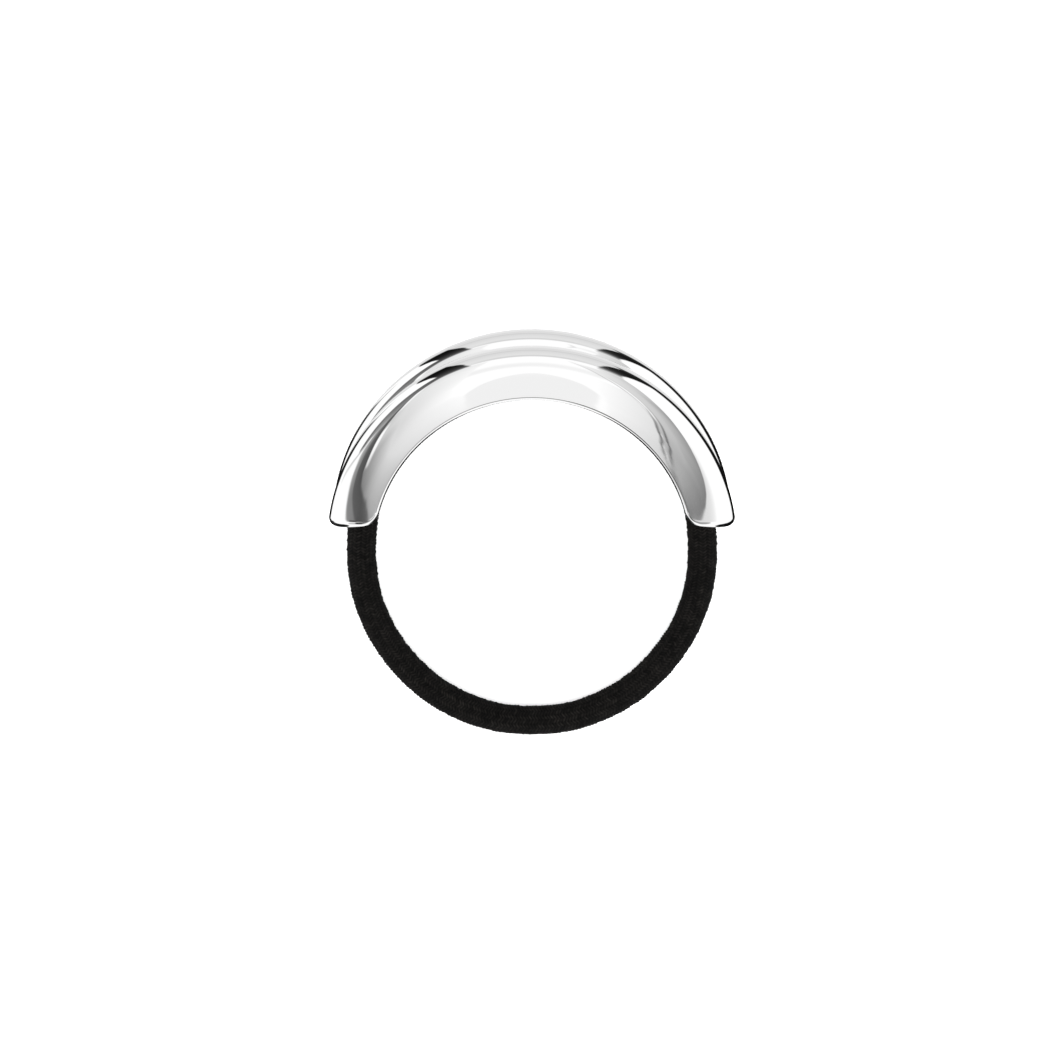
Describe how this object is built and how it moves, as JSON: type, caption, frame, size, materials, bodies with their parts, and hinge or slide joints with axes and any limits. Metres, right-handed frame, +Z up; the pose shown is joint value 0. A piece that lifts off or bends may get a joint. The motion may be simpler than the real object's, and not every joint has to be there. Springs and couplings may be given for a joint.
{
  "type": "hair tie",
  "caption": "Polished ribbed half-ring cuff on a loop of black knitted elastic cord, which holds a ponytail inside the ring.",
  "frame": {"origin": "middle of the whole outline, on the surface that the hair tie lies on", "axes": "+Z up along the ring's axis, +Y from the far side of the elastic to the top of the cuff, +X across the ring to the right"},
  "size_m": [0.0544, 0.0582, 0.02],
  "materials": {
    "polished_plate": "mirror-polished silver-coloured plating on stamped brass",
    "knitted_elastic": "black polyester yarn knitted round a rubber core",
    "crimp_steel": "plain drawn steel sleeve"
  },
  "bodies": {
    "root": {"cuff": "polished_plate", "elastic": "knitted_elastic", "crimp": "crimp_steel"}
  },
  "joints": []
}
